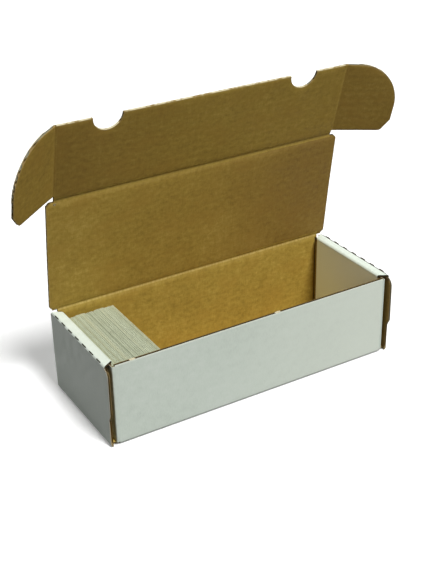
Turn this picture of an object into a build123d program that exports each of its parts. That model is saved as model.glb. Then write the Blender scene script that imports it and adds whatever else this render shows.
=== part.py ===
from build123d import *
import math
import os

os.makedirs("parts", exist_ok=True)

# Card storage box: one die-cut blank of white-lined corrugated board, folded into a tray with a
# hinged lid, a front flap and two tuck ears. Millimetres, +Z up, front towards -Y, origin at the
# middle of the underside. Every board panel is three papers: white liner, fluted core, kraft liner.

# Driving sizes
CARD_WIDTH = 88.9
CARD_HEIGHT = 63.5
CARD_ROOM = 6.35        # inside width and height beyond the cards
BOX_LENGTH = 266.0      # over the outer end walls
FRONT_DROP = 1.2        # the front wall stops this far below the rim

BOARD = 2.5             # corrugated board
STRIP_BOARD = 2.0       # the board where it rolls over the rim
INNER_BOARD = 2.2       # the pressed inner end wall
CORNER_BOARD = 1.2      # the crushed corner flaps
LINER = 0.3
CORE_SHEET = 0.25
GLUE = 0.02             # between a flute's crest and its liner
FLUTE_PITCH = 6.5
CRUSH = 1.0             # flutes pressed flat beside a fold
RUN = 0.3               # running clearance of what folds or slides

LID_OVERHANG = 1.0      # past each end wall
LID_CORNER = 2.5
LID_ANGLE = 81.5        # lid as photographed, up from closed
FLAP_FOLD = 8.0         # flap as photographed, forward of the lid
FLAP_DEPTH = 67.5
NOTCH_RADIUS = 12.4     # finger notches in the flap's free edge
NOTCH_OFFSET = 86.4     # from the middle
LEFT_EAR_FOLD = 32.0
RIGHT_EAR_FOLD = 20.0
EAR_REACH = 49.5
EAR_ARC = 39.0
EAR_START = 4.0         # straight edge of the ear below the lid crease
EAR_TIP_RUN = 7.0       # the tip's slanted corner, along the reach
EAR_TIP_RISE = 11.0     # and across it
EAR_ROUND = 4.0

END_LIP = 2.8           # the end walls' upper front covers the closed flap's edge
LIP_START = 30.5        # height where that lip begins
LIP_SLOPE = 5.5
LIP_ROUND = 7.5
STRIP_INSET = 1.6       # the rolled strip's outer crease to the walls' outer faces
INNER_CLEAR = 4.6       # inner end wall to front and back walls
CUT_LENGTH = 6.35       # perforated crease, cut and land alike
CUT_WIDTH = 0.9
TAB_WIDTH = 16.0        # locking tabs of the inner end walls
TAB_OFFSET = 22.0
TAB_CLEAR = 0.2
TAB_RECESS = 0.3
CORNER_REACH = 44.0
CORNER_TAPER = 3.0

CARD_STOCK = 0.35
CARDS_PER_PACK = 24
PACKS = 5
PACK_SHIFT = 0.8        # how far a pack stands off the front row
CARD_JOG = 0.25         # uneven card tops

# What follows from them
INNER_WIDTH = CARD_WIDTH + CARD_ROOM
INNER_HEIGHT = CARD_HEIGHT + CARD_ROOM
BOX_WIDTH = INNER_WIDTH + 2 * BOARD
RIM = INNER_HEIGHT + BOARD
FRONT_Y = -BOX_WIDTH / 2
BACK_Y = BOX_WIDTH / 2
END_X = BOX_LENGTH / 2
POCKET = BOARD + 2 * RUN
WALL_X = END_X - BOARD - POCKET
CORNER_IN = WALL_X - CORNER_BOARD
INNER_X = CORNER_IN - INNER_BOARD
INNER_Y = BACK_Y - BOARD - INNER_CLEAR
SET_BACK = BOARD / 2 + RUN

HINGE = Vector(0, BACK_Y - BOARD / 2, RIM + SET_BACK)
LID_DEPTH = BOX_WIDTH + RUN
LID_LENGTH = BOX_LENGTH + 2 * LID_OVERHANG
EAR_X = END_X - BOARD - RUN - BOARD / 2
FLAP_HALF = EAR_X - SET_BACK

X_AXIS = Vector(1, 0, 0)


def lean(degrees):
    """Direction along a raised panel, and its kraft side's normal, at this angle from closed."""
    turn = math.radians(degrees)
    along = Vector(0, -math.cos(turn), math.sin(turn))
    inward = Vector(0, -math.sin(turn), -math.cos(turn))
    return along, inward


def plies(thickness):
    """Each paper of a board: its name and where it lies, counted from the white face."""
    return (
        ("white_liner", 0, LINER),
        ("fluted_core", LINER + GLUE, thickness - LINER - GLUE),
        ("kraft_liner", thickness - LINER, thickness),
    )


def flute_profile(span, height):
    """The core's section: a sheet of tangent arcs, from below zero to past the span."""
    half = FLUTE_PITCH / 2
    swing = (height - CORE_SHEET) / 2
    radius = (half**2 / 4 + swing**2) / (2 * swing)
    sine = half / 2 / radius
    cosine = math.sqrt(1 - sine**2)
    count = math.ceil(span / half) + 2

    def crossing(i, side):
        slope = 1 if i % 2 == 0 else -1
        shift = side * CORE_SHEET / 2
        return ((i - 1) * half - slope * sine * shift, height / 2 + cosine * shift)

    def crown(i, side):
        slope = 1 if i % 2 == 0 else -1
        return ((i - 0.5) * half, height / 2 + slope * swing + side * CORE_SHEET / 2)

    with BuildLine() as sheet:
        for side in (1, -1):
            for i in range(count):
                ThreePointArc(crossing(i, side), crown(i, side), crossing(i + 1, side))
        Line(crossing(0, 1), crossing(0, -1))
        Line(crossing(count, 1), crossing(count, -1))
    make_face(sheet.edges())


def corrugate(face, extent, low, high, flutes):
    """Keep only the fluted sheet of the solid slab made so far."""
    x_low, x_high, y_low, y_high = extent
    if flutes == "x":
        start = face.from_local_coords(Vector(0, y_low, low))
        section = Plane(origin=start, x_dir=face.y_dir, z_dir=face.x_dir)
        span = y_high - y_low
        reach = max(abs(x_low), abs(x_high))
    else:
        start = face.from_local_coords(Vector(x_low, 0, low))
        section = Plane(origin=start, x_dir=face.x_dir, z_dir=face.y_dir * -1)
        span = x_high - x_low
        reach = max(abs(y_low), abs(y_high))
    with BuildSketch(section) as sheet:
        flute_profile(span, high - low)
    extrude(sheet.sketch, amount=reach + BOARD, both=True, mode=Mode.INTERSECT)


def fold(centre, outward, away, length, radius, low, high):
    """A quarter-round fold about an axis, from the outward direction to the away direction."""
    inner = max(radius - high, 0)
    outer = radius - low
    with BuildSketch(Plane(origin=centre, x_dir=outward, z_dir=outward.cross(away))) as quarter:
        Circle(outer)
        if inner > GLUE:
            Circle(inner, mode=Mode.SUBTRACT)
        Rectangle(outer, outer, align=(Align.MIN, Align.MIN), mode=Mode.INTERSECT)
        with Locations((inner, 0)):
            Rectangle(high - low, CRUSH, align=(Align.MIN, Align.MAX))
    extrude(quarter.sketch, amount=length / 2, both=True)


def bead(face, crease, reach, low, high):
    """A crushed half-round edge of the panel along the hinge axis at its local X or Y of zero."""
    start = BOARD / 2 - low
    stop = BOARD / 2 - high
    if crease == "x":
        section = Plane(origin=face.from_local_coords(Vector(0, 0, BOARD / 2)),
                        x_dir=face.y_dir, z_dir=face.x_dir)
    else:
        middle = Vector(0, (reach[0] + reach[1]) / 2, BOARD / 2)
        section = Plane(origin=face.from_local_coords(middle), x_dir=face.x_dir, z_dir=face.y_dir * -1)
    with BuildSketch(section) as edge:
        Circle(BOARD / 2)
        with Locations((0, -(start + stop) / 2)):
            Rectangle(BOARD, start - stop, mode=Mode.INTERSECT)
    extrude(edge.sketch, amount=(reach[1] - reach[0]) / 2, both=True)


def board(name, face, extent, flutes="x", thickness=BOARD, outline=None, folds=(), crease=None,
          cut=None):
    """Make a panel's three papers. The face plane lies on the white side, its Z points inward."""
    x_low, x_high, y_low, y_high = extent
    pieces = {}
    for ply, low, high in plies(thickness):
        with BuildPart() as piece:
            with BuildSketch(face.offset(low)):
                if outline:
                    outline()
                else:
                    with Locations(((x_low + x_high) / 2, (y_low + y_high) / 2)):
                        Rectangle(x_high - x_low, y_high - y_low)
            extrude(amount=high - low)
            if ply == "fluted_core":
                corrugate(face, extent, low, high, flutes)
            for centre, outward, away, length, radius in folds:
                if radius - low > LINER:
                    fold(centre, outward, away, length, radius, low, high)
            if crease:
                bead(face, *crease, low, high)
            if cut:
                cut()
        save(piece, f"{name}_{ply}")
        pieces[ply] = piece
    return pieces


def save(piece, node):
    piece.part.label = node
    export_step(piece.part, f"parts/{node}.step")


def pair(name, face, extent, **shape):
    """Make a panel at the right-hand end and its mirror image at the left-hand end."""
    for ply, piece in board(f"right_{name}", face, extent, **shape).items():
        with BuildPart() as twin:
            mirror(piece.part, about=Plane.YZ)
        save(twin, f"left_{name}_{ply}")


# Bottom, with two slots at each end for the inner end walls' locking tabs
FLOOR_X = END_X - BOARD
FLOOR_Y = BACK_Y - BOARD
SLOT_X = (INNER_X + CORNER_IN) / 2


def bottom_outline():
    Rectangle(2 * FLOOR_X, 2 * FLOOR_Y)
    with GridLocations(2 * SLOT_X, 2 * TAB_OFFSET, 2, 2):
        Rectangle(INNER_BOARD + 2 * TAB_CLEAR, TAB_WIDTH + 4 * TAB_CLEAR, mode=Mode.SUBTRACT)


board("bottom", Plane.XY, (-FLOOR_X, FLOOR_X, -FLOOR_Y, FLOOR_Y), outline=bottom_outline)

# Front and back walls, each with its fold into the bottom
WALL_FLAT = WALL_X - BOARD
for name, y, outward, top in (
    ("front_wall", FRONT_Y, Vector(0, -1, 0), RIM - FRONT_DROP),
    ("back_wall", BACK_Y, Vector(0, 1, 0), RIM),
):
    board(
        name,
        Plane(origin=(0, y, 0), x_dir=outward.cross(Vector(0, 0, 1)), z_dir=outward * -1),
        (-WALL_FLAT, WALL_FLAT, BOARD, top),
        folds=[(Vector(0, y, BOARD) - outward * BOARD, outward, Vector(0, 0, -1), 2 * WALL_FLAT, BOARD)],
    )

# End walls. Local X runs to the front, so the lip over the closed flap is at its high end
END_FACE = Plane(origin=(END_X, 0, 0), x_dir=(0, -1, 0), z_dir=(-1, 0, 0))
END_TOP = RIM - STRIP_BOARD
LIP_X = -FRONT_Y + END_LIP


def end_outline():
    with BuildLine() as edge:
        Polyline(
            (LIP_X - LIP_ROUND, END_TOP),
            (-BACK_Y, END_TOP),
            (-BACK_Y, BOARD),
            (-FRONT_Y, BOARD),
            (-FRONT_Y, LIP_START - LIP_SLOPE),
            (LIP_X, LIP_START),
            (LIP_X, END_TOP - LIP_ROUND),
        )
        RadiusArc((LIP_X, END_TOP - LIP_ROUND), (LIP_X - LIP_ROUND, END_TOP), -LIP_ROUND)
    make_face(edge.edges())


pair(
    "end_wall",
    END_FACE,
    (-BACK_Y, LIP_X, BOARD, END_TOP),
    flutes="y",
    outline=end_outline,
    folds=[(Vector(FLOOR_X, 0, BOARD), X_AXIS, Vector(0, 0, -1), BOX_WIDTH, BOARD)],
)

# Strips that roll the end walls over the rim, with a perforated outer crease
STRIP_OUT = END_X - STRIP_BOARD
STRIP_IN = INNER_X + STRIP_BOARD
STRIP_Y = BACK_Y - STRIP_INSET
STRIP_FACE = Plane(origin=(0, 0, RIM), x_dir=(1, 0, 0), z_dir=(0, 0, -1))


def strip_cut():
    crease = Plane(origin=(STRIP_OUT, 0, END_TOP), x_dir=(0, 1, 0), z_dir=(1, 0, 1))
    count = int(STRIP_Y / CUT_LENGTH)
    with BuildSketch(crease) as slots:
        with GridLocations(2 * CUT_LENGTH, 0, count, 1):
            Rectangle(CUT_LENGTH, CUT_WIDTH)
    extrude(slots.sketch, amount=2 * STRIP_BOARD, mode=Mode.SUBTRACT)
    with BuildSketch(Plane.XY.offset(END_TOP)) as slant:
        with BuildLine():
            Polyline(
                (INNER_X, -INNER_Y),
                (END_X, -STRIP_Y),
                (END_X, STRIP_Y),
                (INNER_X, INNER_Y),
                close=True,
            )
        make_face()
    extrude(slant.sketch, amount=STRIP_BOARD, mode=Mode.INTERSECT)


pair(
    "rolled_strip",
    STRIP_FACE,
    (STRIP_IN, STRIP_OUT, -STRIP_Y, STRIP_Y),
    thickness=STRIP_BOARD,
    folds=[
        (Vector(STRIP_OUT, 0, END_TOP), Vector(0, 0, 1), X_AXIS, 2 * STRIP_Y, STRIP_BOARD),
        (Vector(STRIP_IN, 0, END_TOP), Vector(0, 0, 1), X_AXIS * -1, 2 * STRIP_Y, STRIP_BOARD),
    ],
    cut=strip_cut,
)

# Inner end walls, white side towards the cards, locked by two tabs in the bottom's slots
INNER_FACE = Plane(origin=(INNER_X, 0, 0), x_dir=(0, 1, 0), z_dir=(1, 0, 0))


def inner_outline():
    with Locations((0, (BOARD + END_TOP) / 2)):
        Rectangle(2 * INNER_Y, END_TOP - BOARD)
    with Locations((-TAB_OFFSET, (BOARD + TAB_RECESS) / 2), (TAB_OFFSET, (BOARD + TAB_RECESS) / 2)):
        Rectangle(TAB_WIDTH, BOARD - TAB_RECESS)


pair(
    "inner_end_wall",
    INNER_FACE,
    (-INNER_Y, INNER_Y, TAB_RECESS, END_TOP),
    flutes="y",
    thickness=INNER_BOARD,
    outline=inner_outline,
)

# Corner flaps of the front and back walls, trapped between the ear pocket and the inner end wall
CORNER_LOW = BOARD + TAB_CLEAR
CORNER_TOP = END_TOP - TAB_CLEAR


def corner_outline(end):
    """A tapered flap whose wide edge lies at the wall's fold; end is where that is along Y."""
    tip = end - math.copysign(CORNER_REACH, end)

    def draw():
        with BuildLine() as edge:
            Polyline(
                (end, CORNER_LOW),
                (end, CORNER_TOP),
                (tip, CORNER_TOP - CORNER_TAPER),
                (tip, CORNER_LOW + CORNER_TAPER),
                close=True,
            )
        make_face(edge.edges())

    return tip, draw


CORNER_FACE = Plane(origin=(WALL_X, 0, 0), x_dir=(0, -1, 0), z_dir=(-1, 0, 0))
for name, end, away in (
    ("front_corner_flap", FLOOR_Y, Vector(0, -1, 0)),
    ("back_corner_flap", -FLOOR_Y, Vector(0, 1, 0)),
):
    tip, draw = corner_outline(end)
    middle = (CORNER_LOW + CORNER_TOP) / 2
    centre = Vector(WALL_FLAT, away.Y * FLOOR_Y, middle)
    pair(
        name,
        CORNER_FACE,
        (min(tip, end), max(tip, end), CORNER_LOW, CORNER_TOP),
        thickness=CORNER_BOARD,
        outline=draw,
        folds=[(centre, X_AXIS, away, CORNER_TOP - CORNER_LOW, BOARD)],
    )

# Lid, from the hinge crease to the flap crease
lid_along, lid_in = lean(LID_ANGLE)
LID_FACE = Plane(origin=HINGE - lid_in * (BOARD / 2), x_dir=X_AXIS, z_dir=lid_in)
LID_END = LID_DEPTH - SET_BACK


def lid_outline():
    with Locations((0, LID_END / 2)):
        Rectangle(LID_LENGTH, LID_END)
    chamfer(vertices(), LID_CORNER)


LID_BEAD = LID_LENGTH / 2 - LID_CORNER
board(
    "lid_panel",
    LID_FACE,
    (-LID_LENGTH / 2, LID_LENGTH / 2, 0, LID_END),
    outline=lid_outline,
    crease=("x", (-LID_BEAD, LID_BEAD)),
)

# Front flap, with two half-round finger notches in its free edge
flap_along, flap_in = lean(LID_ANGLE - FLAP_FOLD)
CREASE = HINGE + lid_along * LID_DEPTH
FLAP_FACE = Plane(origin=CREASE - flap_in * (BOARD / 2), x_dir=X_AXIS, z_dir=flap_in)


def flap_outline():
    with Locations((0, FLAP_DEPTH / 2)):
        Rectangle(2 * FLAP_HALF, FLAP_DEPTH)
    with Locations((-NOTCH_OFFSET, FLAP_DEPTH), (NOTCH_OFFSET, FLAP_DEPTH)):
        Circle(NOTCH_RADIUS, mode=Mode.SUBTRACT)


board(
    "front_flap",
    FLAP_FACE,
    (-FLAP_HALF, FLAP_HALF, 0, FLAP_DEPTH),
    outline=flap_outline,
    crease=("x", (-FLAP_HALF, FLAP_HALF)),
)

# Tuck ears at the flap's ends
for name, side, degrees in (("left_ear", -1, LEFT_EAR_FOLD), ("right_ear", 1, RIGHT_EAR_FOLD)):
    turn = math.radians(degrees)
    ear_right = X_AXIS * math.cos(turn) + flap_in * (side * math.sin(turn))
    ear_in = flap_in * math.cos(turn) - X_AXIS * (side * math.sin(turn))
    axis_point = CREASE + X_AXIS * (side * EAR_X)

    def ear_outline():
        with BuildLine() as edge:
            Polyline(
                (side * (EAR_REACH - EAR_ARC), FLAP_DEPTH),
                (0, FLAP_DEPTH),
                (0, EAR_START),
                (side * (EAR_REACH - EAR_TIP_RUN), EAR_START),
                (side * EAR_REACH, EAR_START + EAR_TIP_RISE),
                (side * EAR_REACH, FLAP_DEPTH - EAR_ARC),
            )
            RadiusArc(
                (side * EAR_REACH, FLAP_DEPTH - EAR_ARC),
                (side * (EAR_REACH - EAR_ARC), FLAP_DEPTH),
                -side * EAR_ARC,
            )
        make_face(edge.edges())
        tip = vertices().filter_by_position(Axis.Y, EAR_START, EAR_START + EAR_TIP_RISE)
        fillet(tip.sort_by(lambda corner: side * corner.X)[-2:], EAR_ROUND)

    extent = sorted((0, side * EAR_REACH))
    board(
        name,
        Plane(origin=axis_point - ear_in * (BOARD / 2), x_dir=ear_right, z_dir=ear_in),
        (extent[0], extent[1], EAR_START, FLAP_DEPTH),
        outline=ear_outline,
        crease=("y", (EAR_START, FLAP_DEPTH)),
    )

# Blank cards in packs, standing on their long edges against the left-hand end
CARD_FLOOR = BOARD + RUN
for pack in range(PACKS):
    first = -INNER_X + RUN + pack * CARDS_PER_PACK * CARD_STOCK
    front = -FLOOR_Y + RUN + PACK_SHIFT * (pack % 2)
    with BuildPart() as cards:
        with BuildSketch(Plane.XZ.offset(-front)):
            for card in range(CARDS_PER_PACK):
                jog = CARD_JOG * (1 + math.sin(2.4 * card + 1.7 * pack))
                with Locations((first + card * CARD_STOCK, CARD_FLOOR)):
                    Rectangle(CARD_STOCK, CARD_HEIGHT - jog, align=(Align.MIN, Align.MIN))
        extrude(amount=-CARD_WIDTH)
    save(cards, f"card_pack_{pack + 1}")
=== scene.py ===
import math
import random
from dataclasses import dataclass

import bmesh
import bpy
import numpy as np
from mathutils import Matrix, Vector, noise

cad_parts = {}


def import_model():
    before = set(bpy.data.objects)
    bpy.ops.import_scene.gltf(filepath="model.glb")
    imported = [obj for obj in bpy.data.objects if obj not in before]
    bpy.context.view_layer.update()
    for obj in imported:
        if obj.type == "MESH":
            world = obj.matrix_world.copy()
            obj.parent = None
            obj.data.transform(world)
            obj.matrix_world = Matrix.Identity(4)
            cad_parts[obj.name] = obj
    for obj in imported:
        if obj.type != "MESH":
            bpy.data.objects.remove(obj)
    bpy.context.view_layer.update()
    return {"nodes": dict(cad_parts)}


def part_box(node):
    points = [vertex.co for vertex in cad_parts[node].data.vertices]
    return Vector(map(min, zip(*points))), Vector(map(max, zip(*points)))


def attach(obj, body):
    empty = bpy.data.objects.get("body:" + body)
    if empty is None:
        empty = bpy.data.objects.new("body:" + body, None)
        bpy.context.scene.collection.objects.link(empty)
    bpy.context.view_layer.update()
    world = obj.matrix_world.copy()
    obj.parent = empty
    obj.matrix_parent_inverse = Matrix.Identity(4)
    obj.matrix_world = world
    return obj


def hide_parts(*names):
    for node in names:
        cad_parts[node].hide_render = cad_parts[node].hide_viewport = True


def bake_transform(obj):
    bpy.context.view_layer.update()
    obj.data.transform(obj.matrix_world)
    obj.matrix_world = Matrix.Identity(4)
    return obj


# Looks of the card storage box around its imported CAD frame. Lengths are metres, with MM for
# millimetres, and angles are degrees.
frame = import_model()
nodes = frame["nodes"]
MM = 0.001

# The sizes that part.py gives the same things
BOARD = 2.5 * MM
STRIP_BOARD = 2.0 * MM
INNER_BOARD = 2.2 * MM
CORNER_BOARD = 1.2 * MM
FLUTE_PITCH = 6.5 * MM
BOX_LENGTH = 266.0 * MM
BOX_WIDTH = 100.25 * MM
RIM = 72.35 * MM
RUN = 0.3 * MM
FLAP_DEPTH = 67.5 * MM
EAR_ARC = 39.0 * MM
CUT_LENGTH = 6.35 * MM
LID_ANGLE = 81.5
FLAP_FOLD = 8.0
LEFT_EAR_FOLD = 32.0
RIGHT_EAR_FOLD = 20.0
EAR_START = 4.0 * MM
EAR_REACH = 49.5 * MM
INNER_CLEAR = 4.6 * MM
STRIP_INSET = 1.6 * MM
END_LIP = 2.8 * MM
FRONT_DROP = 1.2 * MM
CORNER_REACH = 44.0 * MM
LID_OVERHANG = 1.0 * MM
NOTCH_OFFSET = 86.4 * MM
NOTCH_RADIUS = 12.4 * MM
PACKS = 5
CARDS_PER_PACK = 24

END_X = BOX_LENGTH / 2
FRONT_Y = -BOX_WIDTH / 2
BACK_Y = BOX_WIDTH / 2
WALL_X = END_X - 2 * BOARD - 2 * RUN
INNER_X = WALL_X - CORNER_BOARD - INNER_BOARD
WALL_HALF = WALL_X - BOARD
EAR_X = END_X - BOARD - RUN - BOARD / 2
FLAP_HALF = EAR_X - BOARD / 2 - RUN
INSIDE_Y = BACK_Y - BOARD
INNER_HALF = INSIDE_Y - INNER_CLEAR
STRIP_Z = RIM - STRIP_BOARD
FRONT_TOP = RIM - FRONT_DROP
LID_DEPTH = BOX_WIDTH + RUN
HINGE = Vector((0, BACK_Y - BOARD / 2, RIM + BOARD / 2 + RUN))

X_AXIS = Vector((1, 0, 0))
Y_AXIS = Vector((0, 1, 0))
Z_AXIS = Vector((0, 0, 1))


def lean(degrees):
    """Direction along a raised panel, and its kraft side's normal."""
    turn = math.radians(degrees)
    along = Vector((0, -math.cos(turn), math.sin(turn)))
    inward = Vector((0, -math.sin(turn), -math.cos(turn)))
    return along, inward


# Folds run through the middle of the board
lid_along, lid_in = lean(LID_ANGLE)
flap_along, flap_in = lean(LID_ANGLE - FLAP_FOLD)
CREASE = HINGE + lid_along * LID_DEPTH


def ear_frame(side, degrees):
    """A point on an ear's fold, the ear's right-hand direction and its kraft side's normal."""
    turn = math.radians(degrees)
    right = X_AXIS * math.cos(turn) + flap_in * (side * math.sin(turn))
    inward = flap_in * math.cos(turn) - X_AXIS * (side * math.sin(turn))
    return CREASE + X_AXIS * (side * EAR_X), right, inward


# Materials

class Shader:
    """A small builder for one procedural material. A value is a number, a colour or a socket."""

    def __init__(self, name):
        self.material = bpy.data.materials.new(name)
        self.material.use_nodes = True
        self.tree = self.material.node_tree
        self.tree.nodes.clear()
        self.out = self.tree.nodes.new("ShaderNodeOutputMaterial")
        self.bsdf = self.tree.nodes.new("ShaderNodeBsdfPrincipled")
        self.link(self.bsdf.outputs[0], self.out.inputs["Surface"])

    def link(self, source, target):
        self.tree.links.new(source, target)

    def put(self, value, socket):
        if isinstance(value, (int, float)):
            socket.default_value = value
        elif isinstance(value, tuple):
            opaque = len(socket.default_value) > len(value)
            socket.default_value = (*value, 1) if opaque else value
        else:
            self.link(value, socket)

    def attribute(self, name, output="Vector"):
        node = self.tree.nodes.new("ShaderNodeAttribute")
        node.attribute_name = name
        return node.outputs[output]

    def place(self):
        return self.tree.nodes.new("ShaderNodeTexCoord").outputs["Object"]

    def node(self, kind, values):
        """A node with some of its inputs set, each by its name or number."""
        node = self.tree.nodes.new(kind)
        for key, value in values.items():
            self.put(value, node.inputs[key])
        return node

    def math(self, operation, a, b=0.0):
        node = self.node("ShaderNodeMath", {0: a, 1: b})
        node.operation = operation
        return node.outputs[0]

    def times(self, a, b):
        return self.math("MULTIPLY", a, b)

    def stretch(self, vector, scale):
        node = self.node("ShaderNodeVectorMath", {0: vector, 1: scale})
        node.operation = "MULTIPLY"
        return node.outputs[0]

    def split(self, vector, axis):
        return self.node("ShaderNodeSeparateXYZ", {0: vector}).outputs[axis]

    def noise(self, vector, scale=1.0, detail=3.0, roughness=0.55):
        return self.node("ShaderNodeTexNoise", {
            "Vector": vector, "Scale": scale, "Detail": detail, "Roughness": roughness,
        }).outputs["Fac"]

    def range(self, value, low, high, to_low=0.0, to_high=1.0):
        """A smooth step from to_low to to_high while the value goes from low to high."""
        node = self.node("ShaderNodeMapRange", {
            "Value": value, "From Min": low, "From Max": high, "To Min": to_low, "To Max": to_high,
        })
        node.interpolation_type = "SMOOTHSTEP"
        return node.outputs["Result"]

    def mix(self, factor, a, b):
        node = self.tree.nodes.new("ShaderNodeMix")
        node.data_type = "RGBA"
        self.put(factor, node.inputs["Factor"])
        self.put(a, node.inputs["A"])
        self.put(b, node.inputs["B"])
        return node.outputs["Result"]

    def ramp(self, factor, stops):
        node = self.tree.nodes.new("ShaderNodeValToRGB")
        elements = node.color_ramp.elements
        while len(elements) < len(stops):
            elements.new(0.5)
        for element, (position, colour) in zip(elements, stops):
            element.position = position
            element.color = (*colour, 1)
        self.put(factor, node.inputs["Fac"])
        return node.outputs["Color"]

    def sum(self, *terms):
        """0.5 plus each (value, weight), with the value's own middle at 0.5."""
        total = None
        for value, weight in terms:
            part = self.times(self.math("SUBTRACT", value, 0.5), weight)
            total = part if total is None else self.math("ADD", total, part)
        return self.math("ADD", total, 0.5)

    def bump(self, height, distance, strength):
        node = self.node("ShaderNodeBump", {
            "Height": height, "Distance": distance, "Strength": strength,
        })
        self.link(node.outputs[0], self.bsdf.inputs["Normal"])

    def worn_rim(self, panel, ragged, depth, low, high, strength):
        """1 on a ragged band along a sheet's cut edges. depth is how far the band wanders."""
        wander = self.times(self.noise(panel, ragged, 2), -depth)
        frayed = self.math("ADD", self.attribute("rim", "Fac"), wander)
        return self.range(frayed, low, high, strength, 0.0)

    def finish(self, colour, pattern, roughness, specular):
        """Set the surface. roughness is a pair, mixed by the pattern."""
        self.put(colour, self.bsdf.inputs["Base Color"])
        self.put(self.range(pattern, 0.3, 0.7, *roughness), self.bsdf.inputs["Roughness"])
        self.put(specular, self.bsdf.inputs["Specular IOR Level"])
        return self.material


def flute_wave(s, panel):
    """The washboard of the flutes under a liner, from 0 to 1."""
    across = s.split(panel, "Y")
    drift = s.times(s.noise(s.stretch(panel, (6, 25, 1)), detail=1), 2.5)
    turn = s.math("ADD", s.times(across, 2 * math.pi / FLUTE_PITCH), drift)
    return s.times(s.math("ADD", s.math("SINE", turn), 1.0), 0.5)


def kraft_material():
    """Brown paper. Its mesh attributes say where it is creased (score), where shade is painted
    on (shade) and where a highlight is painted on a fold (crest)."""
    s = Shader("kraft_liner_paper")
    panel = s.attribute("panel")
    score = s.attribute("score", "Fac")
    cloud = s.noise(panel, 9, 2)
    mottle = s.noise(panel, 60, 4, 0.6)
    blotch = s.noise(s.stretch(panel, (200, 290, 1)), detail=4, roughness=0.6)
    fibre = s.noise(s.stretch(panel, (1500, 260, 700)), detail=3, roughness=0.6)
    streak = s.noise(s.stretch(panel, (420, 45, 200)), detail=2)
    wave = flute_wave(s, panel)
    tone = s.sum((cloud, 0.6), (mottle, 0.55), (blotch, 1.15), (fibre, 0.55), (streak, 0.25),
                 (wave, 0.02))
    colour = s.ramp(tone, (
        (0.15, (0.310, 0.206, 0.034)),
        (0.42, (0.404, 0.274, 0.046)),
        (0.60, (0.456, 0.315, 0.056)),
        (0.88, (0.560, 0.395, 0.088)),
    ))
    ruddy = s.range(s.noise(s.stretch(panel, (34, 48, 1)), detail=3), 0.42, 0.70, 0.0, 0.45)
    colour = s.mix(ruddy, colour, (0.420, 0.262, 0.044))
    speck = s.range(s.noise(panel, 900, 1), 0.70, 0.76)
    colour = s.mix(s.times(speck, 0.45), colour, (0.16, 0.095, 0.03))
    worn = s.worn_rim(panel, 900, 1.1 * MM, -0.2 * MM, 0.6 * MM, 0.35)
    colour = s.mix(worn, colour, (0.54, 0.41, 0.17))
    # Crushed paper on a crease is paler, and this paler band also stands in for light caught on
    # the crease's bevel: partly painted light.
    crushed = s.times(s.range(score, 0.0, 0.45), s.range(streak, 0.35, 0.7, 0.15, 0.45))
    colour = s.mix(crushed, colour, (0.560, 0.395, 0.105))
    # Painted shade: a thin dark line at the crease's centre, for the shadow in its groove.
    line = s.range(score, 0.80, 0.98, 0.0, 0.22)
    colour = s.mix(line, colour, (0.130, 0.085, 0.020))
    # Painted highlight: a bright line beside a fold, where the crease would catch the light.
    crest = s.times(s.attribute("crest", "Fac"), s.range(streak, 0.35, 0.65, 0.45, 1.0))
    colour = s.mix(crest, colour, (0.860, 0.670, 0.240))
    # Painted shade: the shade attribute darkens the paper in grooves, under strips and where less
    # light falls, browning it first, then darkening it.
    shade = s.attribute("shade", "Fac")
    painted_shade_colour = s.mix(shade, (0.155, 0.036, 0.016), (0.075, 0.052, 0.026))
    colour = s.mix(shade, colour, painted_shade_colour)
    s.bump(s.sum((fibre, 0.5), (mottle, 0.6), (wave, 0.4)), 0.10 * MM, 0.8)
    return s.finish(colour, mottle, (0.62, 0.78), 0.22)


def white_material():
    """White paper. Its mesh attributes say where light is painted on (pale), where shade is
    painted on (shade), where it is creased (score) and where painted shade darkens the outer side
    of a strip's fold."""
    s = Shader("white_liner_paper")
    panel = s.attribute("panel")
    score = s.attribute("score", "Fac")
    cloud = s.noise(panel, 8, 2)
    mottle = s.noise(panel, 130, 4, 0.6)
    fibre = s.noise(s.stretch(panel, (1300, 300, 700)), detail=2)
    wave = flute_wave(s, panel)
    tone = s.sum((cloud, 0.75), (mottle, 0.85), (fibre, 0.6), (wave, 0.015))
    colour = s.ramp(tone, (
        (0.15, (0.665, 0.740, 0.655)),
        (0.45, (0.752, 0.838, 0.740)),
        (0.62, (0.782, 0.866, 0.770)),
        (0.90, (0.835, 0.900, 0.822)),
    ))
    # Painted light: pale lightens the paper where more light should fall.
    colour = s.mix(s.attribute("pale", "Fac"), colour, (0.92, 0.99, 0.87))
    # Painted shade: darker paper where the shade attribute is set, as on the end walls' outer
    # sides and under the strips.
    colour = s.mix(s.attribute("shade", "Fac"), colour, (0.340, 0.375, 0.340))
    # Painted shade on the outer side of a strip's fold, where the paper is also less glossy.
    seam = s.attribute("seam", "Fac")
    colour = s.mix(s.times(seam, 0.85), colour, (0.200, 0.195, 0.190))
    scuff = s.range(s.noise(s.stretch(panel, (40, 400, 90)), detail=5, roughness=0.7), 0.66, 0.74)
    colour = s.mix(s.times(scuff, 0.16), colour, (0.42, 0.41, 0.36))
    worn = s.worn_rim(panel, 1100, 1.0 * MM, -0.3 * MM, 0.3 * MM, 0.6)
    colour = s.mix(worn, colour, (0.66, 0.60, 0.46))
    crack = s.times(score, s.range(s.noise(panel, 700, 3, 0.7), 0.50, 0.62, 0.0, 0.55))
    colour = s.mix(crack, colour, (0.52, 0.47, 0.36))
    s.bump(s.sum((fibre, 0.3), (mottle, 0.5), (wave, 0.3)), 0.08 * MM, 0.7)
    gloss = s.times(s.math("SUBTRACT", 1.0, seam), 0.30)
    return s.finish(colour, mottle, (0.46, 0.60), gloss)


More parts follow.
